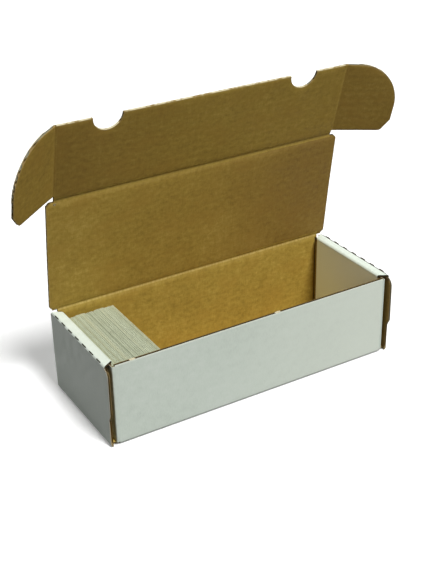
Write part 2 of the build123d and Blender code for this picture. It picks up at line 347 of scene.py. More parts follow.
def core_material(name, shade):
    """Fluting paper. A shade below 1 darkens its colour as painted shade, for cut edges whose
    open flutes lie in shadow.
    """
    s = Shader(name)
    place = s.place()
    mottle = s.noise(place, 90, 4, 0.6)
    fibre = s.noise(place, 1400, 3)
    tone = s.sum((mottle, 0.7), (fibre, 0.8))
    colour = s.ramp(tone, (
        (0.20, (0.215 * shade, 0.150 * shade, 0.060 * shade)),
        (0.50, (0.330 * shade, 0.240 * shade, 0.105 * shade)),
        (0.80, (0.460 * shade, 0.350 * shade, 0.170 * shade)),
    ))
    s.bump(fibre, 0.08 * MM, 0.7)
    return s.finish(colour, mottle, (0.75, 0.9), 0.15)


def card_material():
    """Cut edges of cards, each card with its own tone and stain."""
    s = Shader("card_edge_stock")
    place = s.place()
    tone = s.attribute("tone", "Fac")
    stain = s.attribute("stain", "Fac")
    mottle = s.noise(place, 180, 3)
    fibre = s.noise(s.stretch(place, (4200, 500, 900)), detail=2)
    level = s.math("ADD", s.sum((mottle, 0.25), (fibre, 0.45)), s.math("SUBTRACT", tone, 0.5))
    colour = s.ramp(level, (
        (0.00, (0.255, 0.277, 0.190)),
        (0.45, (0.510, 0.556, 0.410)),
        (0.65, (0.600, 0.652, 0.495)),
        (1.00, (0.770, 0.800, 0.650)),
    ))
    colour = s.mix(s.times(stain, 0.6), colour, (0.62, 0.58, 0.32))
    s.bump(fibre, 0.05 * MM, 0.6)
    return s.finish(colour, mottle, (0.42, 0.58), 0.3)


def fibre_material():
    s = Shader("torn_paper_fibres")
    place = s.place()
    grain = s.noise(place, 2600, 2)
    colour = s.ramp(s.sum((grain, 1.2)), (
        (0.2, (0.50, 0.42, 0.24)),
        (0.5, (0.68, 0.62, 0.43)),
        (0.8, (0.82, 0.79, 0.62)),
    ))
    s.bump(grain, 0.05 * MM, 0.6)
    return s.finish(colour, grain, (0.75, 0.9), 0.15)


def frayed_material():
    """A cut edge, brown where the cut is clean and pale where it has frayed."""
    s = Shader("frayed_cut_edge")
    place = s.place()
    grain = s.noise(place, 1800, 3)
    broken = s.range(s.noise(place, 130, 4, 0.65), 0.40, 0.54)
    colour = s.mix(broken, (0.270, 0.185, 0.060), (0.720, 0.665, 0.440))
    colour = s.mix(s.range(grain, 0.45, 0.75, 0.0, 0.5), colour, (0.460, 0.360, 0.160))
    s.bump(grain, 0.06 * MM, 0.7)
    return s.finish(colour, grain, (0.75, 0.9), 0.15)


KRAFT = kraft_material()
WHITE = white_material()
CORE = core_material("fluted_core_paper", 1.0)
# The near-black core is painted shade for cut edges and cuts whose flutes lie in shadow.
SHADED_CORE = core_material("shaded_core_paper", 0.14)
CARD = card_material()
FIBRE = fibre_material()
FRAYED = frayed_material()
PAPERS = {"white_liner": WHITE, "fluted_core": CORE, "kraft_liner": KRAFT}


# Meshes

WELD = 0.002 * MM


def add_object(name, data):
    piece = bpy.data.objects.new(name, data)
    bpy.context.scene.collection.objects.link(piece)
    return piece


def set_attributes(mesh, **named):
    """Give each point a number or a vector under each of the names."""
    for name, values in named.items():
        values = np.asarray(values, np.float32)
        kind, field = ("FLOAT_VECTOR", "vector") if values.ndim == 2 else ("FLOAT", "value")
        mesh.attributes.new(name, kind, "POINT").data.foreach_set(field, values.ravel())


def finish_mesh(mesh, material, sharp):
    mesh.materials.clear()
    mesh.materials.append(material)
    mesh.shade_smooth()
    mesh.set_sharp_from_angle(angle=math.radians(sharp))


def tube_faces(base, rings, sides):
    """The faces of a closed tube whose points lie ring after ring, from number base on."""
    last = base + (rings - 1) * sides
    faces = [tuple(reversed(range(base, base + sides))), tuple(range(last, last + sides))]
    for start in range(base, last, sides):
        for k in range(sides):
            m = (k + 1) % sides
            faces.append((start + k, start + m, start + sides + m, start + sides + k))
    return faces


def closed_mesh(name, points, faces):
    """A mesh whose faces are turned to look outwards."""
    mesh = bpy.data.meshes.new(name)
    mesh.from_pydata([tuple(point) for point in points], [], faces)
    bm = bmesh.new()
    bm.from_mesh(mesh)
    bmesh.ops.recalc_face_normals(bm, faces=bm.faces)
    bm.to_mesh(mesh)
    bm.free()
    return mesh


def riding(name, mesh, material, sharp, body):
    """A piece that moves with one body."""
    finish_mesh(mesh, material, sharp)
    piece = add_object(name, mesh)
    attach(piece, body)
    return piece


# Board panels

def smooth(t):
    t = np.clip(t, 0, 1)
    return t * t * (3 - 2 * t)


def fade(value, start, end):
    """1 at start and on its far side, falling smoothly to 0 at end."""
    return 1 - smooth((value - start) / (end - start))


# A panel's own axes
RIGHT, UP, INWARD = 0, 1, 2
# How far from a crease its crushed band has rows of points, how deep it is and how wide
CRUSH_STEPS = [k * MM for k in (0, 0.6, 1.2, 1.8, 2.5, 3.3, 4.3, 5.4, 6.6)]
DEEP, SHALLOW = 0.50 * MM, 0.08 * MM
WIDE, NARROW = 6.6 * MM, 2.8 * MM
EAR_BAND = NARROW + MM
SHEET_STEP = 4.5 * MM
CORE_STEP = 22 * MM
RIM_STEPS = (0.6 * MM, 1.6 * MM)
# The distance to a cut edge where there is none
NO_RIM = 1.0
# How near a joined edge lies to its seam or crease
SEAM_ROOM, CREASE_ROOM = 0.05 * MM, 2.2 * MM
PINCH, PINCH_REACH = 0.22, 0.9 * MM
RAGGED, RAGGED_REACH, RAGGED_FINENESS = 0.10 * MM, 3 * MM, 170
# Degrees over which the painted shade on a strip's fold fades in
FOLD_SHADE_FADE = 8
SQUARENESS = 6
# Each panel's paper starts at another place in the pattern
PATTERN_SHIFT = 0.37


@dataclass
class Panel:
    """One folded panel, carried by body. origin, right, up and inward are its own frame, with
    the white side at depth 0, extent its reach along right and up, and flutes their axis.

    creases are (axis, place, reach, depth) and seams (axis, place), where the paper goes on.
    bow bends the sheet, corner squares a fold into a wall, and ridge is a fold that gets a band
    of painted shade. pale and shade give the paper's painted light and painted shade, core is the
    fluting's material, pitch the step of the liners' points, and worn tells whether their cut
    edges look frayed.
    """
    body: str
    origin: Vector
    right: Vector
    up: Vector
    inward: Vector
    extent: tuple
    flutes: int = RIGHT
    thickness: float = BOARD
    creases: tuple = ()
    bow: object = None
    pitch: float = SHEET_STEP
    seams: tuple = ()
    corner: tuple = None
    pale: object = None
    shade: object = None
    core: object = CORE
    ridge: tuple = None
    worn: bool = True

    def cuts(self, core):
        """Planes that give the panel the points it needs to bend: (axis, place)."""
        found = []
        for axis in (RIGHT, UP):
            if core and axis != self.flutes:
                continue
            low, high = self.extent[axis]
            count = max(1, round((high - low) / (CORE_STEP if core else self.pitch)))
            found += [(axis, low + (high - low) * i / count) for i in range(1, count)]
            if not core:
                for inset in RIM_STEPS:
                    found += [(axis, low + inset), (axis, high - inset)]
        for axis, place, reach, _ in self.creases:
            sign = 1 if sum(self.extent[axis]) / 2 > place else -1
            found += [(axis, place + sign * d) for d in CRUSH_STEPS if d <= reach * 1.01]
        return found

    def axes(self):
        return np.array([self.right, self.up, self.inward])

    def local(self, points):
        return (points - np.array(self.origin)) @ self.axes().T

    def world(self, local):
        return np.array(self.origin) + local @ self.axes()

    def score(self, local):
        """1 on a crease, fading to 0 where its crushed band ends."""
        total = np.zeros(len(local))
        for axis, place, reach, depth in self.creases:
            distance = np.abs(local[:, axis] - place)
            total = np.maximum(total, fade(distance, 0, reach) * depth / DEEP)
        return total

    def square(self, bent):
        """Draw the quarter-round fold into the wall out to a crisp corner."""
        place, depth = self.corner
        sign = np.sign(place)
        out = sign * (bent[:, RIGHT] - place)
        rise = depth - bent[:, INWARD]
        folded = (out > 0) & (rise > 0)
        out, rise = out[folded], rise[folded]
        scale = np.hypot(out, rise) / (out ** SQUARENESS + rise ** SQUARENESS) ** (1 / SQUARENESS)
        bent[folded, RIGHT] = place + sign * out * scale
        bent[folded, INWARD] = depth - rise * scale

    def bend(self, local, rim, seed):
        """Press the creases in, pinch the cut edges and let the panel bow."""
        bent = local.copy()
        share = np.clip(local[:, INWARD] / self.thickness, 0, 1)
        for axis, place, reach, depth in self.creases:
            distance = np.abs(local[:, axis] - place)
            bent[:, INWARD] -= share * depth * fade(distance, 0, reach)
        middle = self.thickness / 2
        pinch = 1 - PINCH * np.exp(-rim / PINCH_REACH)
        bent[:, INWARD] = middle + (bent[:, INWARD] - middle) * pinch
        fine = local * RAGGED_FINENESS
        ragged = np.array([noise.noise(Vector((u + seed, v, 0))) for u, v, _ in fine])
        bent[:, INWARD] += ragged * RAGGED * np.exp(-rim / RAGGED_REACH)
        if self.bow:
            bent[:, INWARD] += self.bow(local)
        if self.corner:
            self.square(bent)
        return bent


def rim_distance(points, segments):
    """Each point's distance to the nearest cut edge, all in the panel's plane."""
    start = segments[:, 0]
    run = segments[:, 1] - start
    size = np.maximum((run ** 2).sum(1), 1e-14)
    nearest = []
    for point in points:
        t = np.clip(((point - start) * run).sum(1) / size, 0, 1)
        gap = point - (start + run * t[:, None])
        nearest.append(np.hypot(*gap.T).min(initial=NO_RIM))
    return np.array(nearest)


def free_edges(bm, panel):
    """The cut edges of a liner as pairs of points in the panel's plane."""
    found = []
    for edge in bm.edges:
        if len(edge.link_faces) != 2:
            continue
        a, b = (face.normal for face in edge.link_faces)
        flat_a, flat_b = (abs(normal.dot(panel.inward)) > 0.99 for normal in (a, b))
        if flat_a != flat_b and a.dot(b) < 0.5:
            found.append([vert.co[:] for vert in edge.verts])
    ends = panel.local(np.array(found).reshape(-1, 3)).reshape(-1, 2, 3)
    joined = np.zeros(len(ends), bool)
    for axis, place in panel.seams:
        joined |= (np.abs(np.abs(ends[:, :, axis]) - place) < SEAM_ROOM).all(1)
    for axis, place, _, _ in panel.creases:
        joined |= (np.abs(ends[:, :, axis] - place) < CREASE_ROOM).all(1)
    return ends[~joined][:, :, :2]


def paint(mesh, panel, ply, local, rim, seed):
    """Give a sheet the attributes that its paper's material reads."""
    sheet = local[:, (panel.flutes, 1 - panel.flutes, INWARD)]
    sheet[:, 0] += PATTERN_SHIFT * seed
    rim = rim if panel.worn else np.full(len(rim), NO_RIM)
    set_attributes(mesh, panel=sheet, rim=rim, score=panel.score(local))
    if panel.pale:
        set_attributes(mesh, pale=panel.pale(local))
    if panel.shade:
        set_attributes(mesh, shade=panel.shade(local, ply))
    # A band of painted shade round the outer side of a strip's fold
    if panel.ridge:
        place, depth, middle, width = panel.ridge
        out = np.sign(place) * (local[:, RIGHT] - place)
        turn = np.degrees(np.arctan2(depth - local[:, INWARD], out))
        set_attributes(mesh, seam=np.clip((width - np.abs(turn - middle)) / FOLD_SHADE_FADE, 0, 1))


def dress(name, panel, seed):
    """Replace a panel's plain plies by bent, creased and worn ones. A flat core may stay."""
    # The core comes last, and its cut edges are the kraft liner's
    for ply in ("white_liner", "kraft_liner", "fluted_core"):
        node = f"{name}_{ply}"
        core = ply == "fluted_core"
        if core and not panel.creases and not panel.bow:
            nodes[node].data.materials.clear()
            nodes[node].data.materials.append(panel.core)
            continue
        bm = bmesh.new()
        bm.from_mesh(nodes[node].data)
        bmesh.ops.remove_doubles(bm, verts=bm.verts, dist=WELD)
        if not core:
            bmesh.ops.dissolve_limit(bm, angle_limit=math.radians(0.5), verts=bm.verts,
                                     edges=bm.edges)
        bm.normal_update()
        if not core:
            edges = free_edges(bm, panel)
        for axis, place in panel.cuts(core):
            direction = (panel.right, panel.up)[axis]
            bmesh.ops.bisect_plane(bm, geom=bm.verts[:] + bm.edges[:] + bm.faces[:], dist=WELD,
                                   plane_co=panel.origin + direction * place,
                                   plane_no=direction)
        mesh = bpy.data.meshes.new(f"{node}_sheet")
        bm.to_mesh(mesh)
        bm.free()
        points = np.array([vert.co for vert in mesh.vertices], float).reshape(-1, 3)
        local = panel.local(points)
        rim = rim_distance(local[:, :2], edges)
        bent = panel.world(panel.bend(local, rim, seed))
        mesh.vertices.foreach_set("co", bent.astype(np.float32).ravel())
        if not core:
            paint(mesh, panel, ply, local, rim, seed)
        mesh.update()
        material = panel.core if core else PAPERS[ply]
        piece = riding(f"{node}_sheet", mesh, material, 35, panel.body)
        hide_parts(node)


def arch(amount, extent, pinned):
    """A bow of the panel, zero on its pinned sides: l, r, b and t."""
    (u_low, u_high), (v_low, v_high) = extent

    def bow(local):
        u = (local[:, RIGHT] - u_low) / (u_high - u_low)
        v = (local[:, UP] - v_low) / (v_high - v_low)
        shape = np.ones(len(local))
        for side, rise in zip("lrbt", (1.6 * u, 1.6 * (1 - u), 1.4 * v, 1.4 * (1 - v))):
            if side in pinned:
                shape *= smooth(rise)
        return amount * shape * (0.75 + 0.25 * np.sin(7 * u + 2 * v))

    return bow


def painted_light_front(local):
    """Painted light on the front wall: a highlight along the cut top edge, and its right-hand part
    lighter.
    """
    edge = fade(FRONT_TOP - local[:, UP], 0.6 * MM, 1.2 * MM)
    return np.maximum(edge, 0.75 * fade(local[:, RIGHT], 125 * MM, -70 * MM))


def painted_light_inner(local):
    """Painted light on the inner end walls, most of all at their upright edges."""
    margin = INNER_HALF - np.abs(local[:, RIGHT])
    return np.maximum(0.9, fade(margin, 2.5 * MM, 5.0 * MM))


def under_strip(local):
    """Painted shade under a rolled strip, 1 at the top and 0 from a little lower on."""
    return fade(local[:, UP], STRIP_Z - 1.0 * MM, STRIP_Z - 6.0 * MM)


def shade_end(local, ply):
    """Painted shade: the end walls darker outside, and dark inside, behind the lip and under the
    strip.
    """
    if ply == "white_liner":
        return np.full(len(local), 0.58)
    groove = 0.6 * fade(local[:, RIGHT], FRONT_Y + 3.0 * MM, FRONT_Y + 12.0 * MM)
    return np.maximum(groove, 0.9 * under_strip(local))


def shade_corner(local, ply):
    """Painted shade in the groove beside a corner flap, darkest under the rolled strip."""
    under = under_strip(local)
    if ply == "white_liner":
        return 0.9 * under * (np.abs(local[:, RIGHT]) < INSIDE_Y)
    return 0.35 + 0.55 * under


def on_kraft(tone, ply):
    return tone if ply == "kraft_liner" else 0 * tone


# Painted shade on a rolled strip's kraft underside, which shows only at its cut ends.
def shade_strip(local, ply):
    return on_kraft(np.full(len(local), 0.9), ply)


def shade_front(local, ply):
    """Painted shade on the cut edge along the top of the front wall."""
    return on_kraft(0.7 * fade(FRONT_TOP - local[:, UP], 0.3 * MM, 1.0 * MM), ply)


# Painted shade, growing towards the lid's right-hand end.
def shade_lid(local, ply):
    return on_kraft(0.12 + 0.32 * fade(local[:, RIGHT], 125 * MM, -20 * MM), ply)


# Painted shade, growing towards the flap's left-hand end.
def shade_flap(local, ply):
    return on_kraft(0.10 + 0.20 * fade(local[:, RIGHT], -120 * MM, 10 * MM), ply)


# Painted shade on the ears, the right one darker.
def shade_ear(local, ply):
    return on_kraft(np.full(len(local), EAR_TONES[int(local[:, RIGHT].mean() > 0)]), ply)


# The painted shade of the left and the right ear
EAR_TONES = (0.14, 0.28)
# Middle and half width of the painted shade round the fold of the left and the right strip
FOLD_SHADE_BANDS = ((42, 6), (65, 23))


def about(half):
    return -half, half


def build_panels():
    strip_half = BACK_Y - STRIP_INSET
    wall_seam = ((RIGHT, WALL_HALF),)
    top_seam = ((UP, STRIP_Z),)
    lid_extent = (about(END_X + LID_OVERHANG), (0, LID_DEPTH - BOARD / 2 - RUN))
    flap_extent = (about(FLAP_HALF), (0, FLAP_DEPTH))
    wall_extent = (about(WALL_HALF), (0, RIM))
    end_extent = ((FRONT_Y - END_LIP, BACK_Y), (0, STRIP_Z))
    lid_outside = HINGE - lid_in * (BOARD / 2)
    flap_outside = CREASE - flap_in * (BOARD / 2)
    panels = {
        "bottom": Panel("box", Vector(), X_AXIS, Y_AXIS, Z_AXIS,
                        (about(END_X - BOARD), about(INSIDE_Y))),
        "front_wall": Panel("box", Vector((0, FRONT_Y, 0)), X_AXIS, Z_AXIS, Y_AXIS,
                            (about(WALL_HALF), (0, FRONT_TOP)),
                            bow=arch(0.18 * MM, wall_extent, "lrb"), seams=wall_seam,
                            pale=painted_light_front, shade=shade_front, core=SHADED_CORE, worn=False),
        "back_wall": Panel("box", Vector((0, BACK_Y, 0)), X_AXIS, Z_AXIS, -Y_AXIS, wall_extent,
                           creases=((UP, HINGE.z, WIDE, DEEP),), seams=wall_seam),
        "lid_panel": Panel("lid", lid_outside, X_AXIS, lid_along, lid_in, lid_extent,
                           creases=((UP, 0, NARROW, DEEP), (UP, LID_DEPTH, WIDE, DEEP)),
                           bow=arch(-0.7 * MM, lid_extent, "bt"), shade=shade_lid),
        "front_flap": Panel("flap", flap_outside, X_AXIS, flap_along, flap_in, flap_extent,
                            creases=((UP, 0, NARROW, DEEP), (RIGHT, -EAR_X, EAR_BAND, SHALLOW),
                                     (RIGHT, EAR_X, EAR_BAND, SHALLOW)),
                            bow=arch(-0.8 * MM, flap_extent, "lrb"), shade=shade_flap),
    }
    for word, side, fold in (("left", -1, LEFT_EAR_FOLD), ("right", 1, RIGHT_EAR_FOLD)):
        out = X_AXIS * side
        axis, right, inward = ear_frame(side, fold)
        reach = sorted((0.0, side * EAR_REACH))
        panels[f"{word}_ear"] = Panel(
            f"{word}_ear", axis - inward * (BOARD / 2), right, flap_along, inward,
            (reach, (EAR_START, FLAP_DEPTH)), creases=((RIGHT, 0, EAR_BAND, SHALLOW),),
            shade=shade_ear)
        panels[f"{word}_end_wall"] = Panel(
            "box", out * END_X, Y_AXIS, Z_AXIS, -out, end_extent, flutes=UP,
            bow=arch(-0.35 * MM, end_extent, "bt"), seams=top_seam, shade=shade_end)
        panels[f"{word}_rolled_strip"] = Panel(
            "box", Vector((0, 0, RIM)), X_AXIS, Y_AXIS, -Z_AXIS,
            (sorted((side * END_X, side * INNER_X)), about(strip_half)),
            thickness=STRIP_BOARD, pitch=2.5 * MM, core=SHADED_CORE, worn=False,
            ridge=(side * (END_X - STRIP_BOARD), STRIP_BOARD, *FOLD_SHADE_BANDS[side > 0]),
            shade=shade_strip)
        panels[f"{word}_inner_end_wall"] = Panel(
            "box", out * INNER_X, Y_AXIS, Z_AXIS, out,
            (about(INNER_HALF), (0, STRIP_Z)),
            flutes=UP, thickness=INNER_BOARD, seams=top_seam, pale=painted_light_inner)
        for place, v_sign in (("front", -1), ("back", 1)):
            near = sorted((v_sign * INSIDE_Y, v_sign * (INSIDE_Y - CORNER_REACH)))
            panels[f"{word}_{place}_corner_flap"] = Panel(
                "box", out * WALL_X, Y_AXIS, Z_AXIS, -out,
                (near, (BOARD, STRIP_Z)), thickness=CORNER_BOARD,
                seams=((INWARD, BOARD),), corner=(v_sign * INSIDE_Y, BOARD),
                shade=shade_corner)
    return panels


panels = build_panels()
for number, (name, panel) in enumerate(panels.items()):
    dress(name, panel, number + 1)


# Crease strips: the crushed board that joins two panels at a fold

STRIP_SWING = 1.7 * MM
STRIP_HALF = 3.4 * MM
STRIP_ROWS = 19
STRIP_COLUMN = 2.2 * MM
STRIP_PAPER = 0.14 * MM
STRIP_WOBBLE = 0.25 * MM
# Heights on a strip, each with the distances from the fold where it is whole and where it is
# gone: fine wrinkles, its lift over the panels' paper, and its edges, which sink into that
WRINKLE, WRINKLE_FADE = 0.05 * MM, (1.2 * MM, 2.4 * MM)
LIFT, LIFT_FADE = 0.02 * MM, (1.6 * MM, 2.6 * MM)
SINK, SINK_FADE = 0.05 * MM, (3.3 * MM, 2.4 * MM)
# The painted highlight of a crest lies beside the fold
CREST_OFFSET, CREST_REACH = 1.3 * MM, 1.5 * MM


@dataclass
class Fold:
    """A fold between two bodies, which nothing uses. axis is a point on it, line its direction
    and span its two ends. into holds the directions into the two panels, and inside their
    kraft sides' normals."""
    bodies: tuple
    axis: Vector
    line: Vector
    span: tuple
    into: tuple
    inside: tuple


def sheet_faces(columns, rows):
    """The faces of a closed sheet of two layers, whose points lie layer after layer."""
    across = rows + 1
    layer = (columns + 1) * across
    faces = []
    for i in range(columns):
        for j in range(rows):
            corner = i * across + j
            quad = (corner, corner + across, corner + across + 1, corner + 1)
            faces.append(quad)
            faces.append(tuple(k + layer for k in reversed(quad)))
    border = [i * across for i in range(columns + 1)]
    border += [columns * across + j for j in range(1, rows + 1)]
    border += [i * across + rows for i in range(columns - 1, -1, -1)]
    border += list(range(rows - 1, 0, -1))
    for a, b in zip(border, border[1:] + border[:1]):
        faces.append((b, a, a + layer, b + layer))
    return faces


def crease_strip(name, fold, outward, reach, depth, slot, seed, shades=(0, 0), crest=0):
    """A thin creased sheet over one side of a fold. Pairs hold a value for each panel: that
    side's normals in outward, the crushed band's widths in reach and the painted shade in
    shades. crest is the strength of a painted highlight beside the fold."""
    low, high = fold.span
    columns = max(8, int((high - low) / STRIP_COLUMN))
    points, sheet, scores, tones, crests = [], [], [], [], []
    for layer in (0, 1):
        for i in range(columns + 1):
            along = low + (high - low) * i / columns
            wobble = STRIP_WOBBLE * noise.noise(Vector((along * 120, seed * 3.1, 0)))
            for j in range(STRIP_ROWS + 1):
                s = STRIP_HALF * (2 * j / STRIP_ROWS - 1)
                width = reach[0] if s < 0 else reach[1]
                wrinkle = WRINKLE * noise.noise(Vector((along * 420, s * 500, seed * 1.7)))
                height = BOARD / 2 - depth * fade(abs(s + wobble), 0, width)
                height += wrinkle * fade(abs(s), *WRINKLE_FADE)
                height += LIFT * fade(abs(s), *LIFT_FADE) - SINK * fade(abs(s), *SINK_FADE)
                height -= layer * STRIP_PAPER
                share = smooth(s / (2 * STRIP_SWING) + 0.5)
                a = fold.axis - fold.into[0] * s + outward[0] * height
                b = fold.axis + fold.into[1] * s + outward[1] * height
                points.append(a.lerp(b, share) + fold.line * along)
                sheet.append((along + PATTERN_SHIFT * seed, s, 0))
                scores.append(fade(abs(s), 0, width) * min(1.0, depth / DEEP))
                tones.append(shades[0] + (shades[1] - shades[0]) * share)
                crests.append(crest * fade(abs(s + CREST_OFFSET), 0, CREST_REACH))
    mesh = closed_mesh(name, points, sheet_faces(columns, STRIP_ROWS))
    set_attributes(mesh, panel=sheet, rim=[NO_RIM] * len(points), score=scores, shade=tones,
                   crest=crests)
    finish_mesh(mesh, PAPERS[slot], 50)
    piece = add_object(name, mesh)
    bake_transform(piece)


def crease_pair(name, fold, reach, depths, seeds, **looks):
    """The two strips of one fold. looks are what only the kraft side shows: painted shade and a
    painted highlight.
    """
    outside = [-face for face in fold.inside]
    crease_strip(f"{name}_inside", fold, fold.inside, reach, depths[0], "kraft_liner", seeds[0],
                 **looks)
    crease_strip(f"{name}_outside", fold, outside, (min(reach), min(reach)), depths[1],
                 "white_liner", seeds[1])


lid_fold = Fold(("box", "lid"), HINGE, X_AXIS, about(WALL_X - 0.2 * MM), (-Z_AXIS, lid_along),
                (-Y_AXIS, lid_in))
flap_fold = Fold(("lid", "flap"), CREASE, X_AXIS, about(FLAP_HALF), (-lid_along, flap_along),
                 (lid_in, flap_in))
# The hinge's kraft side gets a painted highlight beside the fold.
crease_pair("lid_crease", lid_fold, (WIDE, NARROW), (DEEP, 0.12 * MM), (31, 32), crest=0.55)
crease_pair("flap_crease", flap_fold, (WIDE, NARROW), (DEEP, 0.12 * MM), (33, 34))
# The ear creases blend the flap's and the ear's painted shade.
for word, side, angle, shades in (("left", -1, LEFT_EAR_FOLD, (0.30, EAR_TONES[0])),
                                  ("right", 1, RIGHT_EAR_FOLD, (0.10, EAR_TONES[1]))):
    axis, right, inward = ear_frame(side, angle)
    fold = Fold(("flap", f"{word}_ear"), axis, flap_along, (EAR_START, FLAP_DEPTH),
                (X_AXIS * -side, right * side), (flap_in, inward))
    crease_pair(f"{word}_ear_crease", fold, (EAR_BAND, EAR_BAND), (SHALLOW, 0.1 * MM),
                (38 + side, 32 + side), shades=shades)


# Cards

# Shares of the cards that stand low, are stained or are pale
LOW_CARDS, STAINED_CARDS, PALE_CARDS = 0.06, 0.07, 0.07
# The last pack's cards are striped from this one on
FIRST_STRIPED = 18


def card_pack(number):
    """Separate cards in the space of the pack's solid, a few low and painted darker as shade,
    stained or pale.
    """
    node = f"card_pack_{number}"
    low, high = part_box(node)
    draw = random.Random(500 + number)
    step = (high.x - low.x) / CARDS_PER_PACK
    group = 0.0
    points, faces, tones, stains = [], [], [], []
    for i in range(CARDS_PER_PACK):
        if draw.random() < 0.2:
            group = draw.uniform(-0.04, 0.04)
        x0 = low.x + i * step + draw.uniform(0.0, 0.03) * MM
        x1 = low.x + (i + 1) * step - draw.uniform(0.02, 0.06) * MM
        top = high.z - draw.uniform(0.0, 0.35) * MM
        kind = draw.random()
        tone = 0.56 + group + draw.uniform(-0.035, 0.035)
        stain = 0.0
        # Low cards also get painted shade: a darker tone.
        if kind < LOW_CARDS:
            top -= draw.uniform(0.3, 0.7) * MM
            tone -= 0.05
        elif kind > 1 - PALE_CARDS:
            tone += 0.22
        elif kind > 1 - PALE_CARDS - STAINED_CARDS:
            stain = draw.uniform(0.5, 1.0)
        if number == PACKS and i >= FIRST_STRIPED:
            tone += (0.10, -0.02)[i % 2]
            stain = (0.8, 0.0, 0.35)[i % 3]
        front = low.y + draw.uniform(0.0, 0.45) * MM
        back = high.y - draw.uniform(0.0, 0.45) * MM
        bow = draw.uniform(-0.03, 0.03) * MM
        levels = (low.z, (low.z + top) / 2, top - 0.12 * MM, top)
        faces += tube_faces(len(points), len(levels), 4)
        tones += [tone] * 4 * len(levels)
        stains += [stain] * 4 * len(levels)
        for z in levels:
            ease = 0.05 * MM if z == top else 0.0
            lean_x = bow * math.sin(math.pi * (z - low.z) / (top - low.z))
            for x, y in ((x0, front), (x1, front), (x1, back), (x0, back)):
                inward = ease if x == x0 else -ease
                points.append((x + lean_x + inward, y, z))
    mesh = closed_mesh(f"loose_cards_{number}", points, faces)
    set_attributes(mesh, tone=tones, stain=stains)
    piece = riding(f"loose_cards_{number}", mesh, CARD, 20, "cards")
    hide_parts(node)


for number in range(1, PACKS + 1):
    card_pack(number)


# Torn fibres where the die left nicks and where folds have split

TUFT_STEPS = 4
TUFT_TAPER = 0.85


def tuft(name, body, centre, spread, outward, reach, count, seed):
    """A tuft of tapered paper fibres. spread is the line along which they are rooted."""
    draw = random.Random(seed)
    side = spread.normalized()
    out = outward.normalized()
    third = side.cross(out).normalized()
    points, faces = [], []
    for _ in range(count):
        root = centre + spread * draw.uniform(-0.5, 0.5) + third * draw.uniform(-0.9, 0.9) * MM
        heading = out + side * draw.uniform(-0.9, 0.9) + third * draw.uniform(-0.8, 0.8)
        heading.normalize()
        curl = (side * draw.uniform(-1, 1) + third * draw.uniform(-1, 1)) * 0.5
        length = reach * draw.uniform(0.35, 1.0)
        width = draw.uniform(0.10, 0.26) * MM
        beside = side if abs(heading.dot(side)) < 0.8 else third
        across = heading.cross(beside).normalized() * width
        faces += tube_faces(len(points), TUFT_STEPS + 1, 3)
        for k in range(TUFT_STEPS + 1):
            t = k / TUFT_STEPS
            spine = root - out * 0.3 * MM + (heading + curl * t) * length * t
            for offset in (across, heading.cross(across).normalized() * width * 0.5, -across):
                points.append(spine + offset * (1 - TUFT_TAPER * t))
    riding(name, closed_mesh(name, points, faces), FIBRE, 60, body)


def nick(name, centre, length, seed):
    """A crushed, torn nick on the front wall's cut edge."""
    bm = bmesh.new()
    bmesh.ops.create_icosphere(bm, subdivisions=4, radius=1.0)
    for vert in bm.verts:
        p = vert.co
        shape = Vector((p.x * length / 2, p.y * BOARD * 0.46, p.z * 0.55 * MM))
        rough = noise.fractal(Vector((p.x * 3 + seed, p.y * 3, p.z * 3)), 0.6, 2.0, 4)
        vert.co = centre + shape * (1 + 0.25 * rough) + Vector((0, 0, rough * 0.2 * MM))
    mesh = bpy.data.meshes.new(name)
    bm.to_mesh(mesh)
    bm.free()
    riding(name, mesh, FIBRE, 60, "box")


def frayed_edge(name, panel, path, lane, rise, seed):
    """Crushed, frayed paper along a cut edge. path holds the edge's points with their outward
    directions in the panel's plane, and lane how deep in the board it lies, from 0 to 1."""
    middle, reach = (lane[0] + lane[1]) / 2, (lane[1] - lane[0]) / 2
    profile = [(-1, -0.5), (-1, 0.0), (-0.75, 0.55), (-0.35, 0.9), (0.0, 1.0), (0.35, 0.85),
               (0.75, 0.5), (1, 0.0), (1, -0.5)]
    local = []
    for i, (point, outward) in enumerate(path):
        for t, level in profile:
            rough = noise.noise(Vector((point[0] * 420 + seed, point[1] * 420, t * 1.7)))
            slow = noise.noise(Vector((point[0] * 90 - seed, point[1] * 90, 5.0)))
            height = rise * level * max(0.15, 0.75 + 0.9 * rough + 0.7 * slow)
            if i in (0, len(path) - 1):
                height = min(height, -0.1 * MM)
            u, v = point[0] + outward[0] * height, point[1] + outward[1] * height
            local.append((u, v, panel.thickness * (middle + reach * t)))
    local = np.array(local)
    if panel.bow:
        local[:, INWARD] += panel.bow(local)
    mesh = closed_mesh(name, panel.world(local), tube_faces(0, len(path), len(profile)))
    riding(name, mesh, FRAYED, 60, panel.body)


EDGE_STEP = 0.5 * MM


def straight(start, end, outward):
    count = max(2, int((Vector(end) - Vector(start)).length / EDGE_STEP))
    return [(Vector(start).lerp(Vector(end), i / count), outward) for i in range(count + 1)]


def arc(centre, radius, first, last, facing):
    """Points from first to last degrees. facing is 1 on an outer edge and -1 in a notch."""
    count = max(2, int(abs(math.radians(last - first)) * radius / EDGE_STEP))
    found = []
    for i in range(count + 1):
        turn = math.radians(first + (last - first) * i / count)
        out = Vector((math.cos(turn), math.sin(turn)))
        found.append((Vector(centre) + out * radius, out * facing))
    return found


